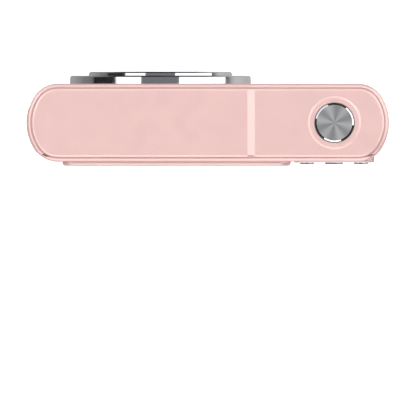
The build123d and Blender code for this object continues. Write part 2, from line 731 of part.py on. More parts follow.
with BuildPart() as shutter_plunger:
    rod((SHUTTER_X, 0, PLUNGER_FLANGE_Z[0]), (SHUTTER_X, 0, PLUNGER_FLANGE_Z[1]), PLUNGER_FLANGE_R)
    rod((SHUTTER_X, 0, PLUNGER_FLANGE_Z[1]), (SHUTTER_X, 0, PLUNGER_NECK_Z), PLUNGER_NECK_R)
    rod((SHUTTER_X, 0, PLUNGER_STEM_Z), (SHUTTER_X, 0, PLUNGER_FLANGE_Z[0]), PLUNGER_STEM_R)

with BuildPart() as shutter_spring:
    coil_z = SHUTTER_BOARD_Z[1] + SPRING_WIRE_R
    coil_height = PLUNGER_FLANGE_Z[0] - SPRING_WIRE_R - coil_z
    with BuildLine() as coil:
        Helix(coil_height / SPRING_TURNS, coil_height, SPRING_R, center=(SHUTTER_X, 0, coil_z))
    with BuildSketch(coil.line ^ 0):
        Circle(SPRING_WIRE_R)
    sweep()

with BuildPart() as shutter_switch:
    block(SHUTTER_BOARD_X, SHUTTER_BOARD_Y, SHUTTER_BOARD_Z)
    block(centred(SHUTTER_X, SWITCH_W), centred(0, SWITCH_W), (SHUTTER_BOARD_Z[1], SWITCH_Z[0]))
    rod((SHUTTER_X, 0, SWITCH_Z[0]), (SHUTTER_X, 0, SWITCH_Z[1]), SWITCH_W / 4)

# Lens ----------------------------------------------------------------------------------------

with BuildPart() as lens_base_ring:
    add(
        turned([
            (BASE_RING_R, FRONT_Y),
            (BASE_RING_R, BASE_RING_Y + RING_BEVEL[1]),
            (BASE_RING_R - RING_BEVEL[0], BASE_RING_Y),
            (RING_SEAT_R, BASE_RING_Y),
            (RING_SEAT_R, RING_SEAT_Y),
            (TUBE_R[1] + FIT_GAP, RING_SEAT_Y),
            (TUBE_R[1] + FIT_GAP, FRONT_WALL_Y),
            (LENS_HOLE_R - FIT_GAP, FRONT_WALL_Y),
            (LENS_HOLE_R - FIT_GAP, FRONT_Y),
        ])
    )

with BuildPart() as lens_front_ring:
    add(
        turned([
            (OUTER_BARREL_R[1] + BARREL_GAP, RING_SEAT_Y),
            (RING_SEAT_R - FIT_GAP, RING_SEAT_Y),
            (RING_SEAT_R - FIT_GAP, BASE_RING_Y),
            (FRONT_RING_R, BASE_RING_Y),
            (FRONT_RING_R, FRONT_RING_Y + RING_BEVEL[1]),
            (FRONT_RING_R - RING_BEVEL[0], FRONT_RING_Y),
            (OUTER_BARREL_R[1] + BARREL_GAP + RING_BORE_CHAMFER, FRONT_RING_Y),
            (OUTER_BARREL_R[1] + BARREL_GAP, FRONT_RING_Y + RING_BORE_CHAMFER),
        ])
    )

with BuildPart() as lens_tube:
    base_y = TUBE_Y[1] - TUBE_BASE_T
    lens_rod(TUBE_R[1], TUBE_Y)
    lens_rod(TUBE_R[0], (TUBE_Y[0], base_y), mode=Mode.SUBTRACT)
    block(
        centred(LENS_X, SENSOR_W + 2 * SENSOR_GAP),
        (base_y, TUBE_Y[1]),
        centred(LENS_Z, SENSOR_H + 2 * SENSOR_GAP),
        mode=Mode.SUBTRACT,
    )

with BuildPart() as outer_barrel:
    lens_rod(OUTER_BARREL_R[1], OUTER_BARREL_Y)
    chamfer(outer_barrel.faces().sort_by(Axis.Y)[0].edges(), BARREL_CHAMFER)
    lens_rod(OUTER_BARREL_R[0], OUTER_BARREL_Y, mode=Mode.SUBTRACT)

with BuildPart() as inner_barrel:
    plate_y = INNER_BARREL_Y[0] + APERTURE_BEVEL
    add(
        turned([
            (INNER_BARREL_R[0], INNER_BARREL_Y[1]),
            (INNER_BARREL_R[1], INNER_BARREL_Y[1]),
            (INNER_BARREL_R[1], INNER_BARREL_Y[0] + BARREL_CHAMFER),
            (INNER_BARREL_R[1] - BARREL_CHAMFER, INNER_BARREL_Y[0]),
            (APERTURE_R + APERTURE_BEVEL, INNER_BARREL_Y[0]),
            (APERTURE_R, plate_y),
            (BLADE_HOUSING_R, plate_y),
            (BLADE_HOUSING_R, CELL_Y[0]),
            (INNER_BARREL_R[0], CELL_Y[0]),
        ])
    )

with BuildPart() as lens_cell:
    lens_rod(INNER_BARREL_R[0] - FIT_GAP, CELL_Y)
    lens_rod(ELEMENT_R + FIT_GAP, CELL_Y, mode=Mode.SUBTRACT)
    for side in (1, -1):
        x, z = LENS_X + BLADE_PIVOT[0], LENS_Z + side * BLADE_PIVOT[1]
        rod((x, CELL_Y[0], z), (x, plate_y + FIT_GAP, z), BLADE_PIN_R)

blades = {}
for blade_name, side in (("upper_blade", 1), ("lower_blade", -1)):
    with BuildPart() as blade:
        with BuildSketch(facing_front(BLADE_Y[1])):
            pivot = (LENS_X + BLADE_PIVOT[0], LENS_Z + side * BLADE_PIVOT[1])
            with Locations((LENS_X, LENS_Z)):
                Circle(BLADE_R)
            with Locations((LENS_X + BLADE_PIVOT[0] / 2, pivot[1])):
                Rectangle(BLADE_PIVOT[0], 2 * BLADE_EYE_R)
            with Locations(pivot):
                Circle(BLADE_EYE_R)
            with Locations((LENS_X, LENS_Z + side * (BLADE_R + BLADE_GAP))):
                Rectangle(4 * BLADE_R, 2 * BLADE_R, mode=Mode.INTERSECT)
            with Locations(pivot):
                Circle(BLADE_PIN_R + FIT_GAP, mode=Mode.SUBTRACT)
        extrude(amount=length(BLADE_Y))
    blades[blade_name] = blade

with BuildPart() as front_element:
    add(lens_element(ELEMENT_R, *FRONT_ELEMENT_Y))

with BuildPart() as rear_cell:
    lens_rod(INNER_BARREL_R[0] - FIT_GAP, REAR_CELL_Y)
    lens_rod(REAR_ELEMENT_R + FIT_GAP, REAR_CELL_Y, mode=Mode.SUBTRACT)

with BuildPart() as rear_element:
    add(lens_element(REAR_ELEMENT_R, *REAR_ELEMENT_Y))

with BuildPart() as sensor_board:
    block(SENSOR_BOARD_X, SENSOR_BOARD_Y, SENSOR_BOARD_Z)

with BuildPart() as image_sensor:
    block(centred(LENS_X, SENSOR_W), SENSOR_Y, centred(LENS_Z, SENSOR_H))
    # Its bonded infrared filter.
    block(centred(LENS_X, FILTER_W), FILTER_Y, centred(LENS_Z, FILTER_H))

# Flash, microphone and speaker ---------------------------------------------------------------

with BuildPart() as flash_window:
    with BuildSketch(facing_front(FLASH_REAR_Y)):
        with Locations((FLASH_X, FLASH_Z)):
            RectangleRounded(FLASH_W, FLASH_H, FLASH_CORNER_R)
    extrude(amount=FLASH_REAR_Y - FRONT_Y)

with BuildPart() as flash_reflector:
    flash_x = centred(FLASH_X, FLASH_W - 2 * REFLECTOR_MARGIN)
    block(flash_x, REFLECTOR_Y, centred(FLASH_Z, FLASH_H - 2 * REFLECTOR_MARGIN))
    block(
        flash_x, (REFLECTOR_Y[0], REFLECTOR_BOWL_Y), centred(FLASH_Z, REFLECTOR_MOUTH_H),
        mode=Mode.SUBTRACT,
    )
    rod(
        (flash_x[0], REFLECTOR_BOWL_Y, FLASH_Z), (flash_x[1], REFLECTOR_BOWL_Y, FLASH_Z),
        REFLECTOR_BOWL_R, mode=Mode.SUBTRACT,
    )

with BuildPart() as flash_tube:
    rod((flash_x[0], FLASH_TUBE_Y, FLASH_Z), (flash_x[1], FLASH_TUBE_Y, FLASH_Z), FLASH_TUBE_R)

with BuildPart() as flash_capacitor:
    rod(
        (CAPACITOR_X[0], CAPACITOR_Y, CAPACITOR_Z), (CAPACITOR_X[1], CAPACITOR_Y, CAPACITOR_Z),
        CAPACITOR_R,
    )

with BuildPart() as microphone:
    rod((MIC_X, FRONT_WALL_Y + FIT_GAP, FLASH_Z), (MIC_X, MIC_REAR_Y, FLASH_Z), MIC_R)

with BuildPart() as speaker:
    rod((SPEAKER_X[0], 0, SPEAKER_Z), (SPEAKER_X[1], 0, SPEAKER_Z), SPEAKER_R)
    rod(
        (SPEAKER_X[0], 0, SPEAKER_Z), (SPEAKER_X[0] + SPEAKER_DISH_DEPTH, 0, SPEAKER_Z),
        SPEAKER_DISH_R, mode=Mode.SUBTRACT,
    )

with BuildPart() as strap_bar:
    rod((STRAP_X, STRAP_BAR_Y[0], STRAP_Z), (STRAP_X, STRAP_BAR_Y[1], STRAP_Z), STRAP_BAR_R)

# Frame and circuit boards --------------------------------------------------------------------

with BuildPart() as chassis:
    block(FRAME_X, FRAME_Y, FRAME_Z)
    # Clear of the tripod socket, the data port's board and the shutter's board.
    block(SOCKET_NOTCH_X, FRAME_Y, (FRAME_Z[0], INSERT_Z + 2 * NOTCH_GAP), mode=Mode.SUBTRACT)
    block((PORT_NOTCH_X, FRAME_X[1]), FRAME_Y, (FRAME_Z[0], PORT_NOTCH_Z), mode=Mode.SUBTRACT)
    block(
        (FRAME_X[0], SHUTTER_BOARD_X[1] + NOTCH_GAP), FRAME_Y, (SHUTTER_BOARD_Z[0], FRAME_Z[1]),
        mode=Mode.SUBTRACT,
    )
    block(SHUTTER_BOARD_X, SHUTTER_BOARD_Y, (SHUTTER_BOARD_Z[0] - SHELF_T, SHUTTER_BOARD_Z[0]))
    # Foot that clamps the tripod socket.
    foot_z = COLLAR_Z + SOCKET_FLANGE_T
    block(FOOT_X, FOOT_Y, (foot_z, foot_z + FOOT_T))
    rod((0, 0, 0), (0, 0, INSERT_Z), INSERT_R + FIT_GAP, mode=Mode.SUBTRACT)
    # Battery bay, and the wall that holds the mouths of the bay and the card slot.
    for bay_z in ((BAY_Z[0], BAY_Z[0] + BAY_T), (BAY_Z[1] - BAY_T, BAY_Z[1])):
        block((BAY_X[0], PORT_WALL_X[1]), (FRAME_Y[1], BAY_Y), bay_z)
    block(BAY_X, (FRAME_Y[1], BAY_Y), BAY_Z)
    block(PORT_WALL_X, PORT_WALL_Y, BAY_Z)
    block(
        PORT_WALL_X,
        (BATTERY_Y[0] - BAY_GAP, BATTERY_Y[1] + BAY_GAP),
        (BATTERY_Z[0] - BAY_GAP, BATTERY_Z[1] + BAY_GAP),
        mode=Mode.SUBTRACT,
    )
    block(
        PORT_WALL_X,
        (CARD_Y[0] - 2 * CARD_GAP, CARD_Y[1] + 2 * CARD_GAP),
        (CARD_Z[0] - 2 * CARD_GAP, CARD_Z[1] + 2 * CARD_GAP),
        mode=Mode.SUBTRACT,
    )
    block(
        PORT_WALL_X,
        (LATCH_NECK_Y[0] - LATCH_TRAVEL - LATCH_GAP, LATCH_NECK_Y[1] + LATCH_GAP),
        (LATCH_Z[0] - LATCH_GAP, LATCH_Z[1] + LATCH_GAP),
        mode=Mode.SUBTRACT,
    )
    # Lugs for the casing's screws, and posts for the main board.
    for side, z in CASE_SCREWS:
        lug_root_x = FRAME_X[1] if side > 0 else -FRAME_X[0]
        lug_x = sorted((side * (lug_root_x - LUG_OVERLAP), side * LUG_X))
        block(lug_x, LUG_Y, centred(z, LUG_H))
        head, inwards = case_screw_head(side, z)
        add(screw(head, inwards, CASE_SCREW, driven=False), mode=Mode.SUBTRACT)
    for x, z in POSTS:
        rod((x, FRAME_Y[1], z), (x, MAIN_BOARD_Y[0], z), POST_R)
        add(
            screw((x, MAIN_BOARD_Y[1], z), (0, -1, 0), BOARD_SCREW, driven=False),
            mode=Mode.SUBTRACT,
        )

with BuildPart() as case_screws:
    for side, z in CASE_SCREWS:
        add(screw(*case_screw_head(side, z), CASE_SCREW))

with BuildPart() as board_screws:
    for x, z in POSTS:
        add(screw((x, MAIN_BOARD_Y[1], z), (0, -1, 0), BOARD_SCREW))

with BuildPart() as main_board:
    block(MAIN_BOARD_X, MAIN_BOARD_Y, MAIN_BOARD_Z)
    for x, z in POSTS:
        add(
            screw((x, MAIN_BOARD_Y[1], z), (0, -1, 0), BOARD_SCREW, driven=False),
            mode=Mode.SUBTRACT,
        )

with BuildPart() as board_chips:
    for x, z, chip_w, chip_h, chip_t in CHIPS:
        block(
            centred(x, chip_w),
            (MAIN_BOARD_Y[1], MAIN_BOARD_Y[1] + chip_t),
            centred(z, chip_h),
        )

with BuildPart() as usb_port:
    with BuildSketch(Plane.YZ.offset(USB_X[0])):
        with Locations((0, USB_Z)):
            SlotOverall(USB_W, USB_H)
    extrude(amount=length(USB_X))
    with BuildSketch(Plane.YZ.offset(USB_X[0] + USB_BACK_T)):
        with Locations((0, USB_Z)):
            SlotOverall(USB_W - 2 * USB_WALL, USB_H - 2 * USB_WALL)
    extrude(amount=length(USB_X), mode=Mode.SUBTRACT)
    block(
        (USB_X[0] + USB_BACK_T, USB_X[1] - USB_TONGUE_SINK),
        centred(0, USB_TONGUE[0]),
        centred(USB_Z, USB_TONGUE[1]),
    )
    # The small board that it is soldered to.
    block(USB_BOARD_X, centred(0, USB_BOARD_W), (USB_Z - USB_H / 2 - BOARD_T, USB_Z - USB_H / 2))

# Battery, card and door ----------------------------------------------------------------------

with BuildPart() as battery:
    block(BATTERY_X, BATTERY_Y, BATTERY_Z)
    fillet(battery.edges().filter_by(Axis.X), BATTERY_FILLET)

with BuildPart() as battery_contacts:
    block_x = (BAY_X[1], BAY_X[1] + CONTACT_BLOCK_T)
    block(block_x, centred(CONTACT_Y, CONTACT_BLOCK_W), CONTACT_BLOCK_Z)
    for z in CONTACT_Z:
        block((block_x[1], BATTERY_X[0]), centred(CONTACT_Y, CONTACT_W), centred(z, CONTACT_W))

with BuildPart() as card_socket:
    block(SOCKET_X, SOCKET_Y, (CARD_Z[0] - SOCKET_WALL, CARD_Z[1] + SOCKET_WALL))
    block(
        (CARD_X[0] - CARD_GAP, SOCKET_X[1]),
        (CARD_Y[0] - CARD_GAP, CARD_Y[1] + CARD_GAP),
        (CARD_Z[0] - CARD_GAP, CARD_Z[1] + CARD_GAP),
        mode=Mode.SUBTRACT,
    )

with BuildPart() as memory_card:
    block(CARD_X, CARD_Y, CARD_Z)
    chamfer(memory_card.edges().filter_by(Axis.Y).sort_by(Axis.X)[:2], CARD_CHAMFER)

with BuildPart() as battery_latch:
    block(LATCH_FOOT_X, LATCH_FOOT_Y, LATCH_FOOT_Z)
    block((LATCH_FOOT_X[1], LATCH_X[0]), LATCH_NECK_Y, LATCH_Z)
    block(LATCH_X, (LATCH_NECK_Y[0], LATCH_HOOK_Y), LATCH_Z)

with BuildPart() as side_door:
    with BuildSketch(Plane.XY.offset(DOOR_Z[0])):
        add(outline(-DOOR_PROUD))
        add(outline(DOOR_T - DOOR_PROUD), mode=Mode.SUBTRACT)
        add(door_plan(DOOR_EDGE_Y, 0), mode=Mode.INTERSECT)
        with Locations(HINGE):
            Circle(KNUCKLE_R)
            Circle(PIN_R + PIN_FIT, mode=Mode.SUBTRACT)
    extrude(amount=length(DOOR_Z))
    # Stiffening ribs inside.
    for rib_z in DOOR_RIB_Z:
        with BuildSketch(Plane.XY.offset(rib_z)):
            add(outline(DOOR_T - DOOR_PROUD))
            add(outline(DOOR_T - DOOR_PROUD + DOOR_RIB), mode=Mode.SUBTRACT)
            with Locations((WIDTH / 2, 0)):
                Rectangle(WIDTH / 4, DOOR_RIB_W, mode=Mode.INTERSECT)
        extrude(amount=DOOR_RIB_T)

with BuildPart() as door_pin:
    rod(
        (*HINGE, DOOR_Z[0] - DOOR_GAP - PIN_SEAT), (*HINGE, DOOR_Z[1] + DOOR_GAP + PIN_SEAT), PIN_R
    )

# Hand-over -----------------------------------------------------------------------------------

PIECES = {
    "front_cover": front_cover,
    "rear_cover": rear_cover,
    "top_cover": top_cover,
    "bottom_cover": bottom_cover,
    "tripod_collar": tripod_collar,
    "tripod_socket": tripod_socket,
    "screen_bezel": screen_bezel,
    "screen_window": screen_window,
    "lcd_panel": lcd_panel,
    "lcd_backlight": lcd_backlight,
    "key_panel": key_panel,
    **keys,
    "zoom_rocker": zoom_rocker,
    "status_light": status_light,
    "key_board": key_board,
    "shutter_button": shutter_button,
    "shutter_plunger": shutter_plunger,
    "shutter_spring": shutter_spring,
    "shutter_switch": shutter_switch,
    "lens_base_ring": lens_base_ring,
    "lens_front_ring": lens_front_ring,
    "lens_tube": lens_tube,
    "outer_barrel": outer_barrel,
    "inner_barrel": inner_barrel,
    "lens_cell": lens_cell,
    **blades,
    "front_element": front_element,
    "rear_cell": rear_cell,
    "rear_element": rear_element,
    "sensor_board": sensor_board,
    "image_sensor": image_sensor,
    "flash_window": flash_window,
    "flash_reflector": flash_reflector,
    "flash_tube": flash_tube,
    "flash_capacitor": flash_capacitor,
    "microphone": microphone,
    "speaker": speaker,
    "strap_bar": strap_bar,
    "chassis": chassis,
    "case_screws": case_screws,
    "board_screws": board_screws,
    "main_board": main_board,
    "board_chips": board_chips,
    "usb_port": usb_port,
    "battery": battery,
    "battery_contacts": battery_contacts,
    "card_socket": card_socket,
    "memory_card": memory_card,
    "battery_latch": battery_latch,
    "side_door": side_door,
    "door_pin": door_pin,
}

os.makedirs("parts", exist_ok=True)
for piece_name, piece in PIECES.items():
    piece.part.label = piece_name
    export_step(piece.part, f"parts/{piece_name}.step")
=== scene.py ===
"""The looks of a compact digital camera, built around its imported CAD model.

Every length is in metres unless its name says otherwise, in the CAD model's own frame: X along the
camera, Y towards its screen, Z up from its base. Texture nodes work in millimetres.
"""

import json
from math import cos, pi, radians, sin, tan

import bpy
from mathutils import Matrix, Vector

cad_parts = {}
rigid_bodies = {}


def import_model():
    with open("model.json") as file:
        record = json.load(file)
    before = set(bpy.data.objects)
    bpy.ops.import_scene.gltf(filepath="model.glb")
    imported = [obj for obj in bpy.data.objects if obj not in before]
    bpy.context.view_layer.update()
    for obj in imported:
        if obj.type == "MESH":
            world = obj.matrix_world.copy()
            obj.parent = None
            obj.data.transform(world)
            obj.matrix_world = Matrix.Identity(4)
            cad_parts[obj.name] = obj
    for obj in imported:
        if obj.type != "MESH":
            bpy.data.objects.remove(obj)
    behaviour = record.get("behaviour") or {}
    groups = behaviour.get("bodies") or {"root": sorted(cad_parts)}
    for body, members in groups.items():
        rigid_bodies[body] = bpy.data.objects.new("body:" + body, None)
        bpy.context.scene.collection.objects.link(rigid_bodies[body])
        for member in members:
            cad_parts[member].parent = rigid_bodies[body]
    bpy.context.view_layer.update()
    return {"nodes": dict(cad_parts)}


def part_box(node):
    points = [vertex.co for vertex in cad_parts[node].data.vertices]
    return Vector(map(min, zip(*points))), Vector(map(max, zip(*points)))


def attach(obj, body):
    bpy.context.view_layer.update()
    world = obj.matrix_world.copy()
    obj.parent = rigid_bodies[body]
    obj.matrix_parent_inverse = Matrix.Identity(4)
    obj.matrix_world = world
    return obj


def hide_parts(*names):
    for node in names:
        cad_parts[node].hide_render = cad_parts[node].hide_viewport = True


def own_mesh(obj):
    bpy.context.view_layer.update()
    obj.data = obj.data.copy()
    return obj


MM = 0.001

# Camera: it looks straight down, with the front of the object at the top of the picture.
VIEW_WIDTH = 0.12181
VIEW_CENTRE_Y = 0.02498
VIEW_HEIGHT = 0.6
VIEW_NEAR = 0.01
VIEW_FAR = 20

# Softboxes: name, azimuth and elevation as seen from the object, half of the width and half of the
# height in degrees, and brightness as a share of FULL_RADIANCE.
FULL_RADIANCE = 1.82
SOFTBOXES = [
    ("end_box", 201.5, 33, 31.5, 35, 1.0),
    ("rear_box", 85.5, 33, 29.5, 35, 1.0),
    ("front_box", 317.5, 24, 30.5, 26, 0.62),
    ("high_box", 0, 47, 34, 17, 1.0),
    ("front_high_box", 270, 70, 34, 9, 0.6),
    ("front_fill_box", 268, 38, 17, 20, 0.6),
]
LIGHT_AIM = Vector((0, 0, 0.05))
LIGHT_DISTANCE = 0.7

# Room: the heights between which it brightens, and its colour below and above them.
ROOM_STOPS = [(0.86, (0.03, 0.03, 0.03, 1)), (0.92, (0.25, 0.25, 0.255, 1))]
BACKDROP = (1, 1, 1, 1)

# Floor: its own grey, and the glow that makes it look white to the camera.
FLOOR_SIZE = 3.0
FLOOR_DROP = 0.02 * MM
FLOOR_GREY = 0.55
FLOOR_GLOW = 0.8

# The floor's grey at each X in millimetres, as reflections see it: painted reflections of light
# and shade, which the chrome mirrors as grey bands.
MIRROR_END_MM = 900
PAINTED_REFLECTION_GREYS = [
    (-900, 0.02), (-300, 0.28), (-120, 0.6), (-20, 0.6), (20, 0.36), (60, 0.36), (130, 0.21),
    (320, 0.17), (900, 0.02),
]

# How that grey changes along Y in millimetres: a painted shadow of the object dims it in front of
# the object, it comes back further out, and the painted shadow dims it less behind.
FRONT_FADE_MM = (-120, -40)
FRONT_END_MM = (-420, -340)
FRONT_SHARE = 0.1
REAR_FADE_MM = (60, 200)
REAR_SHARE = 0.35

# Shutter button: the width of its polished bevel, and the number of painted highlight sectors.
BUTTON_BEVEL_MM = 0.42
BUTTON_HIGHLIGHT_SECTORS = 6.0

# Screen: the part of the panel hidden behind the window's black print, and its dots.
LCD_BORDER_MM = 0.6
DOTS_PER_MM = 8

# Tripod thread: a quarter-inch coarse thread in the socket's bore.
THREAD_PITCH = 1.27 * MM
THREAD_DEPTH = 0.5 * MM
THREAD_COLUMNS = 96
THREAD_ROWS = 90
CREST_SHARE = 0.12
FLANK_SHARE = 0.76
THREAD_END = 5.7 * MM
BORE_END = 6.0 * MM
BORE_R = 2.55 * MM
LEAD_IN = 0.3 * MM
INSERT_R = 3.65 * MM
FLANGE_R = 5.2 * MM
FLANGE_Z = 2.4 * MM

# Flash window: prisms across its face, inside a plain rim.
FLASH_CORNER = 1.55 * MM
FLASH_ROW = 0.1 * MM
FLASH_RIM = 0.5 * MM
PRISM_PITCH = 0.7 * MM
PRISM_DEPTH = 0.22 * MM

# Shutter spring
SPRING_WIRE = 0.2 * MM
SPRING_TURNS = 3
SPRING_SIDES = 12
SPRING_STEPS = 60


def clear_scene():
    """Removes what a new Blender file starts with."""
    for obj in list(bpy.data.objects):
        bpy.data.objects.remove(obj, do_unlink=True)


def srgb(red, green, blue):
    """A linear colour with alpha from the 0 to 255 values that a colour picker shows."""
    linear = []
    for value in (red, green, blue):
        share = value / 255
        linear.append(share / 12.92 if share <= 0.04045 else ((share + 0.055) / 1.055) ** 2.4)
    return (*linear, 1.0)


def grey(level):
    """A linear grey with alpha."""
    return (level, level, level, 1)


def shade(colour, factor):
    """The same colour, lighter or darker."""
    return (*(min(1.0, channel * factor) for channel in colour[:3]), 1.0)


class Look:
    """A material in the making: a Principled shader and the texture nodes that feed it."""

    def __init__(self, name, colour, roughness, metallic=0.0, **sockets):
        self.material = bpy.data.materials.new(name)
        self.material.use_nodes = True
        self.tree = self.material.node_tree
        self.shader = self.tree.nodes["Principled BSDF"]
        self.colour = colour
        self.height = None
        self.set(Base_Color=colour, Roughness=roughness, Metallic=metallic, **sockets)
        coordinates = self.node("TexCoord").outputs["Object"]
        self.point = self.stretch(coordinates, (1 / MM, 1 / MM, 1 / MM))

    def feed(self, socket, value):
        """Links a node's output to a socket, or sets the socket to a plain value."""
        if isinstance(value, bpy.types.NodeSocket):
            self.tree.links.new(value, socket)
        else:
            socket.default_value = value

    def set(self, **sockets):
        """Sets the shader's sockets by name, with an underscore for each space."""
        for name, value in sockets.items():
            self.feed(self.shader.inputs[name.replace("_", " ")], value)

    def node(self, kind, settings=(), **inputs):
        """A new node with its settings and its named inputs."""
        made = self.tree.nodes.new("ShaderNode" + kind)
        for name, value in dict(settings).items():
            setattr(made, name, value)
        for name, value in inputs.items():
            self.feed(made.inputs[name.replace("_", " ")], value)
        return made

    def math(self, operation, *values):
        """Arithmetic on numbers."""
        made = self.node("Math", {"operation": operation})
        for socket, value in zip(made.inputs, values):
            self.feed(socket, value)
        return made.outputs[0]

    def vector(self, operation, *values):
        """Arithmetic on vectors."""
        made = self.node("VectorMath", {"operation": operation})
        for socket, value in zip(made.inputs, values):
            self.feed(socket, value)
        return made

    def stretch(self, vector, factors):
        """A vector with each part multiplied by its own factor."""
        return self.vector("MULTIPLY", vector, factors).outputs[0]

    def scaled(self, vector, factor):
        """A vector or colour multiplied by one number."""
        return self.vector("SCALE", vector, (0, 0, 0), (0, 0, 0), factor).outputs[0]

    def moved(self, centre_mm):
        """The point in millimetres, measured from a centre."""
        return self.vector("SUBTRACT", self.point, centre_mm).outputs[0]

    def parts(self, vector):
        """The X, Y and Z of a vector."""
        return self.node("SeparateXYZ", Vector=vector).outputs

    def radius(self, centre_mm, keep):
        """The distance from an axis through a centre. Keep is 0 along the axis and 1 across it."""
        flat = self.stretch(self.moved(centre_mm), keep)
        return self.vector("LENGTH", flat).outputs["Value"]

    def noise(self, scale, detail=2.0, vector=None):
        """Smooth noise from 0 to 1, with scale features per millimetre."""
        made = self.node("TexNoise", Vector=vector or self.point, Scale=scale, Detail=detail)
        return made.outputs["Fac"]

    def rings(self, value, scale, detail=2.0):
        """Noise along one number, as turning or brushing leaves."""
        made = self.node("TexNoise", {"noise_dimensions": "1D"}, W=value, Scale=scale, Detail=detail)
        return made.outputs["Fac"]

    def cells(self, scale, vector=None, output="Color", **settings):
        """Cells with scale of them per millimetre: a colour each, or the distance to their centre."""
        made = self.node("TexVoronoi", settings, Vector=vector or self.point, Scale=scale)
        return made.outputs[output]

    def fit(self, value, low, high, to_low=0.0, to_high=1.0):
        """A value from one range to another, held at its ends."""
        made = self.node("MapRange")
        for socket, number in zip(made.inputs, (value, low, high, to_low, to_high)):
            self.feed(socket, number)
        return made.outputs[0]

    def mix(self, factor, first, second):
        """A colour between two."""
        made = self.node("Mix", {"data_type": "RGBA"})
        for index, value in ((0, factor), (6, first), (7, second)):
            self.feed(made.inputs[index], value)
        return made.outputs[2]

    def inside(self, value, half):
        """1 where a number is within half of 0, and 0 elsewhere."""
        return self.math("LESS_THAN", self.math("ABSOLUTE", value), half)

    def vary(self, factor, spread, base=None):
        """The colour, from a little darker to a little lighter as the factor goes from 0 to 1."""
        base = base or self.colour
        if isinstance(base, bpy.types.NodeSocket):
            return self.scaled(base, self.fit(factor, 0, 1, 1 - spread, 1 + spread))
        return self.mix(factor, shade(base, 1 - spread), shade(base, 1 + spread))

    def bump(self, height, depth_mm):
        """Adds a fine relief of a depth in millimetres to whatever relief there is."""
        inputs = {"Normal": self.height} if self.height else {}
        made = self.node("Bump", Height=height, Distance=depth_mm * MM, Strength=1.0, **inputs)
        self.height = made.outputs["Normal"]
        self.set(Normal=self.height)


# Painted and plastic finishes --------------------------------------------------------------------


def pearl_lacquer(name, colour, cut_edge=False):
    """Pink pearl paint under a clear coat: fine flakes, faint clouding and orange peel.

    A cut edge is bare bright metal on a bevel that faces halfway towards Y."""
    roughness = 0.36
    look = Look(
        name, colour, roughness, metallic=0.33, Coat_Weight=0.5, Coat_Roughness=0.07, Coat_IOR=1.5
    )
    flakes = look.parts(look.cells(scale=11))[0]
    cloud = look.noise(scale=0.07, detail=3)
    paint = look.vary(flakes, 0.035, look.vary(cloud, 0.02))
    gloss = look.fit(look.noise(scale=0.25, detail=4), 0.3, 0.7, roughness - 0.04, roughness + 0.04)
    if cut_edge:
        facing = look.math("ABSOLUTE", look.parts(look.node("TexCoord").outputs["Normal"])[1])
        edge = look.inside(look.math("SUBTRACT", facing, 0.7), 0.2)
        paint = look.mix(edge, paint, srgb(226, 224, 222))
        gloss = look.math("MULTIPLY_ADD", edge, 0.2 - roughness, gloss)
        look.set(Metallic=look.fit(edge, 0, 1, 0.3, 1.0))
    look.set(Base_Color=paint, Roughness=gloss)
    look.bump(look.noise(scale=0.8, detail=1), 0.0016)
    look.bump(flakes, 0.0004)
    return look.material


def moulded_plastic(name, colour, roughness, grain=3.0, depth_mm=0.006):
    """Moulded plastic with a fine spark-eroded grain and slightly uneven gloss."""
    look = Look(name, colour, roughness)
    fine = look.noise(scale=grain, detail=3)
    broad = look.noise(scale=0.15, detail=3)
    look.set(Base_Color=look.vary(fine, 0.05, look.vary(broad, 0.06)))
    look.set(Roughness=look.fit(broad, 0.3, 0.7, roughness - 0.06, roughness + 0.06))
    look.bump(fine, depth_mm)
    return look.material


def clear_plastic(name, colour, roughness, ribs=0.0):
    """Clear moulded plastic, with ribs across it if it has a rib pitch in millimetres."""
    look = Look(name, colour, roughness, Transmission_Weight=0.9, IOR=1.49)
    speck = look.noise(scale=1.5, detail=3)
    look.set(Base_Color=look.vary(speck, 0.03))
    look.bump(speck, 0.003)
    if ribs:
        height = look.parts(look.point)[2]
        look.bump(look.math("PINGPONG", height, ribs / 2), ribs / 4)
    return look.material


# Metals ------------------------------------------------------------------------------------------


def chrome(name, colour=srgb(214, 215, 218), roughness=0.05):
    """Bright plating, with faint handling marks that only show in the gloss."""
    look = Look(name, colour, roughness, metallic=1.0)
    marks = look.noise(scale=0.35, detail=5)
    look.set(Roughness=look.fit(marks, 0.4, 0.75, roughness, roughness + 0.07))
    look.set(Base_Color=look.vary(marks, 0.02))
    look.bump(look.noise(scale=6, detail=2), 0.00012)
    return look.material


def turned_metal(name, colour, roughness, centre_mm, keep, **sockets):
    """Metal turned on a lathe: fine rings about an axis, which catch the light."""
    look = Look(name, colour, roughness, metallic=1.0, **sockets)
    line_scale = 5.0
    radius = look.radius(centre_mm, keep)
    lines = look.rings(radius, line_scale, detail=5)
    along = look.parts(look.stretch(look.point, tuple(1 - k for k in keep)))
    along = look.math("ADD", look.math("ADD", along[0], along[1]), along[2])
    grooves = look.rings(along, line_scale, detail=4)
    both = look.math("MULTIPLY", look.math("ADD", lines, grooves), 0.5)
    look.set(Base_Color=look.vary(both, 0.12))
    look.set(Roughness=look.fit(both, 0.3, 0.7, roughness - 0.05, roughness + 0.08))
    look.bump(both, 0.0012)
    return look.material


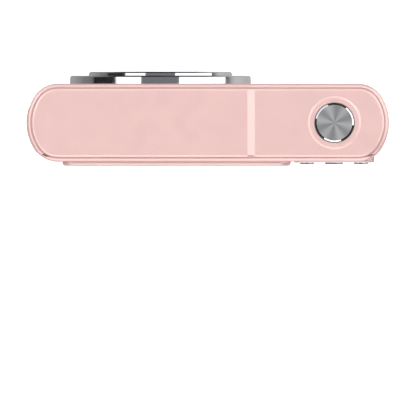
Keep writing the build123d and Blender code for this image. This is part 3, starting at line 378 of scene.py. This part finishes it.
def spun_steel(name, centre_mm, disc_mm):
    """Shutter button: fine rings and six painted highlight sectors inside a polished bevel."""
    look = Look(name, srgb(200, 200, 202), 0.3, metallic=1.0, Anisotropic=0.3)
    flat = look.stretch(look.moved(centre_mm), (1, 1, 0))
    radius = look.vector("LENGTH", flat).outputs["Value"]
    disc = look.fit(radius, disc_mm - 0.03, disc_mm + 0.03, 1.0, 0.0)
    rings = look.rings(radius, 9.0, detail=4)
    spot = look.parts(flat)
    angle = look.math("ARCTAN2", spot[1], spot[0])
    # Six painted highlight sectors, mixed into the colour with the real turned rings.
    rays = look.math("COSINE", look.math("MULTIPLY_ADD", angle, BUTTON_HIGHLIGHT_SECTORS, pi / 3))
    tone = look.math("MULTIPLY_ADD", rays, 0.36, look.math("MULTIPLY_ADD", rings, 0.5, 0.25))
    rings_and_painted_highlights = look.mix(look.fit(tone, 0.0, 1.0), srgb(152, 153, 155), srgb(208, 208, 209))
    look.set(Base_Color=look.mix(disc, srgb(226, 227, 229), rings_and_painted_highlights))
    look.set(Roughness=look.fit(disc, 0, 1, 0.05, 0.36))
    look.set(Tangent=look.node("Tangent", {"direction_type": "RADIAL", "axis": "Z"}).outputs[0])
    look.bump(look.math("MULTIPLY", rings, disc), 0.0012)
    return look.material


def plain_steel(name, colour=srgb(176, 177, 180), roughness=0.22):
    """Rolled or drawn steel with fine scratches in every direction."""
    look = Look(name, colour, roughness, metallic=1.0)
    scratches = look.noise(scale=2.0, detail=6, vector=look.stretch(look.point, (1.0, 6.0, 0.6)))
    look.set(Base_Color=look.vary(scratches, 0.1))
    look.set(Roughness=look.fit(scratches, 0.35, 0.7, roughness - 0.07, roughness + 0.1))
    look.bump(scratches, 0.002)
    return look.material


# Glass and screen --------------------------------------------------------------------------------


def coated_glass(name):
    """A ground lens with an anti-reflection coating."""
    look = Look(
        name, srgb(250, 250, 255), 0.01, Transmission_Weight=1.0, IOR=1.62,
        Thin_Film_Thickness=430.0, Thin_Film_IOR=1.38,
    )
    dust = look.cells(scale=2.2, output="Distance")
    look.set(Roughness=look.fit(dust, 0.02, 0.06, 0.08, 0.01))
    look.bump(look.noise(scale=0.4, detail=2), 0.0001)
    return look.material


def screen_window(name, centre_mm, half_mm):
    """A clear screen cover with a black print round the picture area."""
    look = Look(name, srgb(232, 236, 242), 0.03, IOR=1.45)
    spot = look.parts(look.moved(centre_mm))
    across = look.inside(spot[0], half_mm[0])
    upright = look.inside(spot[2], half_mm[1])
    picture = look.math("MULTIPLY", across, upright)
    smudge = look.noise(scale=0.05, detail=2)
    ink = look.vary(smudge, 0.1, srgb(13, 13, 15))
    look.set(Base_Color=look.mix(picture, ink, look.colour), Transmission_Weight=picture)
    look.set(Roughness=look.fit(smudge, 0.3, 0.8, 0.0, 0.012))
    return look.material


def lcd(name):
    """A screen that is switched off: a near-black filter over a fine grid of dots."""
    look = Look(name, srgb(26, 29, 36), 0.5, Specular_IOR_Level=0.25)
    dots = look.stretch(look.point, (DOTS_PER_MM,) * 3)
    grid = look.node("TexBrick", {"offset": 0.0}, Vector=dots)
    broad = look.noise(scale=0.05, detail=1)
    tone = look.vary(broad, 0.06, srgb(20, 22, 29))
    look.set(Base_Color=look.mix(grid.outputs["Fac"], tone, srgb(18, 20, 26)))
    return look.material


def sensor(name):
    """The image sensor: a dark iridescent area inside a ceramic frame."""
    look = Look(name, srgb(30, 34, 48), 0.12, metallic=0.4, Coat_Weight=1.0, Coat_Roughness=0.02)
    rows = look.rings(look.parts(look.point)[2], 12.0, detail=1)
    cloud = look.noise(scale=0.3, detail=2)
    tint = look.mix(cloud, srgb(36, 46, 88), srgb(66, 34, 74))
    look.set(Base_Color=look.mix(look.fit(rows, 0.35, 0.65), tint, srgb(24, 28, 44)))
    look.bump(rows, 0.0006)
    return look.material


# Electronics -------------------------------------------------------------------------------------


def circuit_board(name):
    """Green solder mask with raised tracks under it, plated pads and vias."""
    look = Look(name, srgb(22, 82, 52), 0.3, Coat_Weight=0.6, Coat_Roughness=0.15)
    flat = look.stretch(look.point, (1, 0.02, 1))
    track = look.cells(0.62, flat, "Distance", feature="DISTANCE_TO_EDGE", distance="MANHATTAN")
    track = look.fit(track, 0.06, 0.1, 1, 0)
    via = look.cells(0.9, flat, "Distance", distance="EUCLIDEAN")
    via = look.math("LESS_THAN", via, 0.13)
    weave = look.noise(scale=2.5, detail=2)
    mask = look.mix(track, look.vary(weave, 0.12), srgb(42, 120, 74))
    look.set(Base_Color=look.mix(via, mask, srgb(222, 190, 112)), Metallic=via)
    look.bump(track, 0.03)
    look.bump(weave, 0.004)
    return look.material


def chip_epoxy(name):
    """Black moulded chip package with a pale dot pattern of tooling marks."""
    look = Look(name, srgb(30, 30, 32), 0.5)
    grain = look.noise(scale=9, detail=3)
    pits = look.math("LESS_THAN", look.cells(0.28, output="Distance"), 0.16)
    look.set(Base_Color=look.mix(pits, look.vary(grain, 0.2), srgb(52, 52, 55)))
    look.set(Roughness=look.fit(pits, 0, 1, 0.55, 0.3))
    look.bump(grain, 0.004)
    look.bump(pits, -0.03)
    return look.material


def battery_wrap(name, low_mm, high_mm):
    """The battery: a satin grey case with a paler label band across the middle of its height."""
    look = Look(name, srgb(70, 72, 76), 0.42)
    height = look.parts(look.point)[2]
    share = look.fit(height, low_mm, high_mm)
    label = look.inside(look.math("SUBTRACT", share, 0.5), 0.27)
    stripe = look.inside(look.math("SUBTRACT", share, 0.3), 0.035)
    grain = look.noise(scale=4, detail=4)
    body = look.vary(grain, 0.08)
    paper = look.vary(look.noise(scale=0.8, detail=3), 0.04, srgb(196, 198, 200))
    surface = look.mix(label, body, paper)
    look.set(Base_Color=look.mix(stripe, surface, srgb(58, 104, 142)))
    look.set(Roughness=look.fit(label, 0, 1, 0.45, 0.25))
    look.bump(label, 0.05)
    look.bump(grain, 0.003)
    return look.material


def gold_contact(name):
    """Gold-plated spring contacts with wipe marks along them."""
    look = Look(name, srgb(235, 196, 110), 0.2, metallic=1.0)
    wipes = look.noise(scale=5, detail=3, vector=look.stretch(look.point, (0.3, 3, 1)))
    look.set(Base_Color=look.vary(wipes, 0.12))
    look.set(Roughness=look.fit(wipes, 0.35, 0.7, 0.12, 0.35))
    look.bump(wipes, 0.002)
    return look.material


# Meshes ------------------------------------------------------------------------------------------


def mesh_object(name, points, faces, material, smooth=True):
    """A mesh object from its points and faces, in the CAD frame."""
    mesh = bpy.data.meshes.new(name)
    mesh.from_pydata([tuple(point) for point in points], [], faces)
    mesh.validate()
    mesh.update()
    for polygon in mesh.polygons:
        polygon.use_smooth = smooth
    mesh.materials.append(material)
    obj = bpy.data.objects.new(name, mesh)
    bpy.context.scene.collection.objects.link(obj)
    return obj


def strip_faces(rows, columns):
    """Quads between rows of points that each go once round, numbered row by row."""
    faces = []
    for row in range(rows - 1):
        for column in range(columns):
            right = (column + 1) % columns
            start = row * columns
            above = start + columns
            faces.append((start + column, start + right, above + right, above + column))
    return faces


def coil_tube(centre, radius, wire, low, high, turns):
    """The points and faces of a coil spring with closed ends, wound about Z from low to high."""
    points = []
    count = int(SPRING_STEPS * turns)
    for step in range(count + 1):
        angle = 2 * pi * step / SPRING_STEPS
        height = low + wire + (high - low - 2 * wire) * step / count
        outward = Vector((cos(angle), sin(angle), 0))
        middle = Vector((centre.x, centre.y, height)) + radius * outward
        for side in range(SPRING_SIDES):
            turn = 2 * pi * side / SPRING_SIDES
            points.append(middle + wire * (outward * cos(turn) + Vector((0, 0, sin(turn)))))
    faces = strip_faces(count + 1, SPRING_SIDES)
    faces.append(tuple(reversed(range(SPRING_SIDES))))
    faces.append(tuple(range(count * SPRING_SIDES, (count + 1) * SPRING_SIDES)))
    return points, faces


# The CAD nodes -----------------------------------------------------------------------------------


def middle_mm(node):
    """The middle of a CAD node's box, in millimetres."""
    low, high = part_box(node)
    return tuple((low + high) / 2 / MM)


def casing_looks():
    """The finishes of the covers, the keys and the shutter button, by material slot."""
    shell = srgb(230, 192, 188)
    button = middle_mm("shutter_button")
    button_low, button_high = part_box("shutter_button")
    disc_mm = (button_high.x - button_low.x) / 2 / MM - BUTTON_BEVEL_MM
    socket = middle_mm("tripod_socket")
    return {
        "pink_shell": pearl_lacquer("pink_shell_look", shell),
        "pink_deck": pearl_lacquer("pink_deck_look", shell),
        "pink_base": pearl_lacquer("pink_base_look", shell),
        "pink_panel": pearl_lacquer("pink_panel_look", srgb(200, 160, 156), cut_edge=True),
        "nickel_insert": turned_metal("nickel_look", srgb(196, 190, 180), 0.24, socket, (1, 1, 0)),
        "key_chrome": chrome("key_chrome_look", srgb(160, 161, 164), 0.13),
        "clear_lamp": clear_plastic("lamp_look", srgb(236, 240, 236), 0.2),
        "spun_steel": spun_steel("spun_steel_look", button, disc_mm),
        "polished_steel": plain_steel("steel_look", srgb(196, 197, 200), 0.14),
    }


def lens_looks():
    """The finishes of the lens, the sensor and the flash, by material slot."""
    axis = middle_mm("lens_base_ring")
    barrel = srgb(172, 170, 172)
    return {
        "lens_chrome": chrome("lens_chrome_look", srgb(208, 209, 213), 0.06),
        "barrel_metal": turned_metal("barrel_look", barrel, 0.26, axis, (1, 0, 1), Anisotropic=0.4),
        "blade_black": moulded_plastic("blade_look", srgb(22, 22, 24), 0.38, 7.0, 0.002),
        "black_plastic": moulded_plastic("black_plastic_look", srgb(28, 28, 30), 0.5),
        "coated_glass": coated_glass("coated_glass_look"),
        "sensor_glass": sensor("sensor_look"),
        "flash_lens": clear_plastic("flash_look", srgb(244, 245, 248), 0.04, ribs=0.8),
        "mirror_metal": plain_steel("mirror_look", srgb(226, 226, 228), 0.08),
    }


def screen_looks():
    """The finishes of the screen's layers, by material slot."""
    low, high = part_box("lcd_panel")
    half_mm = ((high.x - low.x) / 2 / MM - LCD_BORDER_MM, (high.z - low.z) / 2 / MM - LCD_BORDER_MM)
    return {
        "screen_glass": screen_window("screen_glass_look", middle_mm("lcd_panel"), half_mm),
        "lcd_layers": lcd("lcd_look"),
        "white_film": moulded_plastic("film_look", srgb(232, 233, 230), 0.35, 6.0, 0.001),
    }


def inner_looks():
    """The finishes of the boards, the power parts and the springs, by material slot."""
    low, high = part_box("battery")
    return {
        "circuit_board": circuit_board("board_look"),
        "white_plastic": moulded_plastic("white_plastic_look", srgb(226, 226, 222), 0.4),
        "spring_wire": plain_steel("spring_look", srgb(168, 168, 170), 0.2),
        "black_sleeve": moulded_plastic("sleeve_look", srgb(24, 24, 30), 0.28, 1.2, 0.004),
        "can_metal": plain_steel("can_look", srgb(188, 186, 180), 0.3),
        "chip_epoxy": chip_epoxy("chip_look"),
        "battery_wrap": battery_wrap("battery_look", low.z / MM, high.z / MM),
        "gold_contact": gold_contact("gold_look"),
        "card_plastic": moulded_plastic("card_look", srgb(36, 40, 58), 0.4, 5.0, 0.004),
        "orange_plastic": moulded_plastic("orange_look", srgb(214, 96, 30), 0.36),
    }


def make_looks():
    """The finish of each material slot."""
    return {**casing_looks(), **lens_looks(), **screen_looks(), **inner_looks()}


def dress_nodes(frame, looks):
    """Gives every CAD node the look of its material slot."""
    for obj in frame["nodes"].values():
        slot = obj.data.materials[0].name.split(".")[0]
        obj.data.materials[0] = looks[slot]


# Pieces made here --------------------------------------------------------------------------------


def crisp(obj, degrees):
    """Keeps edges sharper than an angle sharp in the shading."""
    obj.data.set_sharp_from_angle(angle=radians(degrees))


def place(obj, body, node):
    """Makes a piece ride on a body and stand for a CAD node, which it hides."""
    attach(obj, body)
    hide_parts(node)


def make_spring(looks):
    """The shutter's coil spring, in place of the CAD node's."""
    low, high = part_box("shutter_spring")
    centre = (low + high) / 2
    radius = (high.x - low.x) / 2 - SPRING_WIRE
    points, faces = coil_tube(centre, radius, SPRING_WIRE, low.z, high.z, SPRING_TURNS)
    spring = mesh_object("shutter_coil", points, faces, looks["spring_wire"])
    place(spring, "camera_body", "shutter_spring")
    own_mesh(spring)


def thread_radius(angle, height):
    """The radius of the thread's surface at an angle and a height above the socket's mouth."""
    turn = (height / THREAD_PITCH - angle / (2 * pi)) % 1.0
    flank = abs(2 * turn - 1)
    share = min(1.0, max(0.0, (flank - CREST_SHARE) / FLANK_SHARE))
    lead = max(0.0, LEAD_IN - height)
    return BORE_R + max(THREAD_DEPTH * share, THREAD_DEPTH * lead / LEAD_IN)


def column_angle(column):
    """The angle about Z of one column of the socket's points."""
    return 2 * pi * column / THREAD_COLUMNS


def bore_rows(low_z):
    """The socket's bore from its inner end to its mouth: each row's radii and its Z."""
    heights = [THREAD_END * (1 - row / THREAD_ROWS) for row in range(THREAD_ROWS)]
    levels = [(THREAD_END, BORE_END)] + [(height, height) for height in heights]
    rows = []
    for thread_height, z in levels:
        radii = [thread_radius(column_angle(n), thread_height) for n in range(THREAD_COLUMNS)]
        rows.append((radii, low_z + z))
    return rows


def outer_rows(low_z, high_z):
    """The socket's outside from its mouth to its top: each row's radii and its Z."""
    profile = [
        (BORE_R + THREAD_DEPTH + LEAD_IN, low_z),
        (INSERT_R, low_z),
        (INSERT_R, FLANGE_Z),
        (FLANGE_R, FLANGE_Z),
        (FLANGE_R, FLANGE_Z + MM),
        (INSERT_R, FLANGE_Z + MM),
        (INSERT_R, high_z),
    ]
    return [([radius] * THREAD_COLUMNS, z) for radius, z in profile]


def make_socket(looks):
    """The tripod socket with a real thread cut in its bore, in place of the plain one."""
    low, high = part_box("tripod_socket")
    rows = bore_rows(low.z) + outer_rows(low.z, high.z)
    points = []
    for radii, z in rows:
        for column, radius in enumerate(radii):
            angle = column_angle(column)
            points.append((radius * cos(angle), radius * sin(angle), z))
    faces = strip_faces(len(rows), THREAD_COLUMNS)
    last = (len(rows) - 1) * THREAD_COLUMNS
    faces.append(tuple(reversed(range(THREAD_COLUMNS))))
    faces.append(tuple(range(last, last + THREAD_COLUMNS)))
    socket = mesh_object("tripod_thread", points, faces, looks["nickel_insert"])
    crisp(socket, 30)
    place(socket, "camera_body", "tripod_socket")


def flash_row(low, high, up):
    """Four points round the flash window at a height from its middle, on a rounded outline."""
    middle = (low + high) / 2
    half = (high - low) / 2
    from_corner = max(0.0, abs(up) - (half.z - FLASH_CORNER))
    reach = (FLASH_CORNER**2 - min(from_corner, FLASH_CORNER) ** 2) ** 0.5
    width = half.x - FLASH_CORNER + reach
    on_rim = half.z - abs(up) < FLASH_RIM
    ridge = 0.0 if on_rim else abs((up / PRISM_PITCH) % 1.0 - 0.5) * PRISM_DEPTH * 2
    front = low.y + ridge
    z = middle.z + up
    left, right = middle.x - width, middle.x + width
    return [(left, front, z), (right, front, z), (right, high.y, z), (left, high.y, z)]


def make_flash_window(looks):
    """The flash window with moulded prisms across its face, in place of the plain one."""
    low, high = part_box("flash_window")
    half_z = (high.z - low.z) / 2
    rows = int(round(2 * half_z / FLASH_ROW))
    points = []
    for row in range(rows + 1):
        points += flash_row(low, high, -half_z + 2 * half_z * row / rows)
    faces = strip_faces(rows + 1, 4)
    last = rows * 4
    faces.append((3, 2, 1, 0))
    faces.append((last, last + 1, last + 2, last + 3))
    window = mesh_object("flash_prisms", points, faces, looks["flash_lens"])
    crisp(window, 20)
    place(window, "camera_body", "flash_window")


# Studio ------------------------------------------------------------------------------------------


def make_camera():
    """A camera that looks straight down without perspective."""
    data = bpy.data.cameras.new("view")
    data.type = "ORTHO"
    data.ortho_scale = VIEW_WIDTH
    data.clip_start = VIEW_NEAR
    data.clip_end = VIEW_FAR
    camera = bpy.data.objects.new("view", data)
    camera.location = (0, VIEW_CENTRE_Y, VIEW_HEIGHT)
    camera.rotation_euler = (0, 0, pi)
    bpy.context.scene.collection.objects.link(camera)
    bpy.context.scene.camera = camera


def softbox(name, azimuth, elevation, half_width, half_height, radiance):
    """A soft light seen from the object at an angle, and as wide and high as the angles say."""
    around, up = radians(azimuth), radians(elevation)
    towards = Vector((cos(up) * cos(around), cos(up) * sin(around), sin(up)))
    data = bpy.data.lights.new(name, "AREA")
    data.shape = "RECTANGLE"
    data.size = 2 * LIGHT_DISTANCE * tan(radians(half_width))
    data.size_y = 2 * LIGHT_DISTANCE * tan(radians(half_height))
    data.energy = pi * data.size * data.size_y * radiance
    light = bpy.data.objects.new(name, data)
    light.location = LIGHT_AIM + towards * LIGHT_DISTANCE
    light.rotation_euler = towards.to_track_quat("Z", "Y").to_euler()
    light.visible_camera = False
    bpy.context.scene.collection.objects.link(light)


def make_lights():
    """Softboxes at one end, behind, at the front corner, high over the other end, and in front."""
    for name, azimuth, elevation, half_width, half_height, share in SOFTBOXES:
        softbox(name, azimuth, elevation, half_width, half_height, share * FULL_RADIANCE)


def set_ramp(ramp, stops):
    """Gives a colour ramp its stops, each a place from 0 to 1 and a colour."""
    while len(ramp.elements) < len(stops):
        ramp.elements.new(1.0)
    for element, (position, colour) in zip(ramp.elements, stops):
        element.position = position
        element.color = colour


def make_world():
    """A dim room that is a little brighter overhead, and a plain white backdrop to the camera."""
    world = bpy.data.worlds.new("studio")
    bpy.context.scene.world = world
    world.use_nodes = True
    nodes = world.node_tree.nodes
    links = world.node_tree.links
    nodes.clear()
    coordinates = nodes.new("ShaderNodeTexCoord")
    split = nodes.new("ShaderNodeSeparateXYZ")
    room = nodes.new("ShaderNodeValToRGB")
    set_ramp(room.color_ramp, ROOM_STOPS)
    dim = nodes.new("ShaderNodeBackground")
    pale = nodes.new("ShaderNodeBackground")
    pale.inputs["Color"].default_value = BACKDROP
    rays = nodes.new("ShaderNodeLightPath")
    mix = nodes.new("ShaderNodeMixShader")
    output = nodes.new("ShaderNodeOutputWorld")
    links.new(coordinates.outputs["Generated"], split.inputs[0])
    links.new(split.outputs["Z"], room.inputs["Fac"])
    links.new(room.outputs["Color"], dim.inputs["Color"])
    links.new(rays.outputs["Is Camera Ray"], mix.inputs[0])
    links.new(dim.outputs[0], mix.inputs[1])
    links.new(pale.outputs[0], mix.inputs[2])
    links.new(mix.outputs[0], output.inputs["Surface"])


def painted_floor_reflection(look):
    """The floor's grey for reflections: a painted gradient along X and a painted shadow along Y."""
    spot = look.parts(look.point)
    ramp = look.node("ValToRGB", Fac=look.fit(spot[0], -MIRROR_END_MM, MIRROR_END_MM))
    stops = [(0.5 + x / (2 * MIRROR_END_MM), grey(level)) for x, level in PAINTED_REFLECTION_GREYS]
    set_ramp(ramp.color_ramp, stops)
    # Painted shadow of the object: the grey dims in front of it and dims less behind it.
    near = look.fit(spot[1], *FRONT_FADE_MM, FRONT_SHARE, 1.0)
    far = look.fit(spot[1], *FRONT_END_MM, 1.0, FRONT_SHARE)
    rear = look.fit(spot[1], *REAR_FADE_MM, 1.0, REAR_SHARE)
    fade = look.math("MULTIPLY", look.math("MAXIMUM", near, far), rear)
    return look.scaled(ramp.outputs["Color"], fade)


def make_floor():
    """A pale matt sheet. The camera sees it white; reflections see its painted light and shade."""
    half = FLOOR_SIZE / 2
    look = Look("floor_look", grey(FLOOR_GREY), 0.9, Specular_IOR_Level=0.0)
    paper = look.vary(look.noise(scale=0.3, detail=4), 0.01)
    rays = look.node("LightPath").outputs
    # Reflections see the painted light and shade; other rays see the plain grey paper.
    look.set(Base_Color=look.mix(rays["Is Glossy Ray"], paper, painted_floor_reflection(look)))
    look.set(Emission_Color=grey(1))
    look.set(Emission_Strength=look.math("MULTIPLY", rays["Is Camera Ray"], FLOOR_GLOW))
    corner_signs = ((-1, -1), (1, -1), (1, 1), (-1, 1))
    points = [(half * x, half * y, -FLOOR_DROP) for x, y in corner_signs]
    floor = mesh_object("floor", points, [(0, 1, 2, 3)], look.material, smooth=False)


# Main --------------------------------------------------------------------------------------------

clear_scene()
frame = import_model()
looks = make_looks()
dress_nodes(frame, looks)
make_spring(looks)
make_socket(looks)
make_flash_window(looks)
make_camera()
make_lights()
make_world()
make_floor()
bpy.context.scene.view_settings.view_transform = "Standard"
